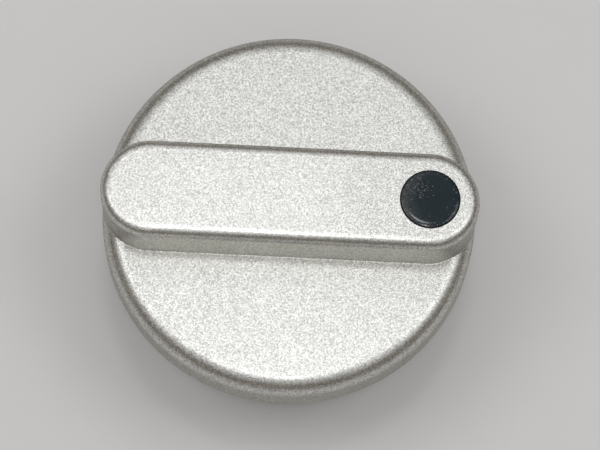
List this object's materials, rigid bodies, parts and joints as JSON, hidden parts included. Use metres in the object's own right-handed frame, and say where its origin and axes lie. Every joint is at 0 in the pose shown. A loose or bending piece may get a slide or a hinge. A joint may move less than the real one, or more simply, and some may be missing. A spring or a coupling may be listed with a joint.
{
  "type": "control knob",
  "caption": "Round satin silver push-on control knob with a full-width raised grip bar, a black pointer dot at one end of the bar and a split D-shaft stem behind.",
  "frame": {"origin": "on the knob's axis, at the end of the stem, which the knob stands on", "axes": "+Z along the shaft axis towards the hand that turns the knob, +X along the grip bar towards the pointer dot"},
  "size_m": [0.042, 0.042, 0.0252],
  "materials": {
    "silver_body": "fine-grained satin silver metallic lacquer on moulded plastic",
    "black_dot": "black, half gloss",
    "spring_steel": "bare rolled spring steel"
  },
  "bodies": {
    "root": {"knob_body": "silver_body", "pointer_dot": "black_dot", "stem_band": "spring_steel"}
  },
  "joints": []
}
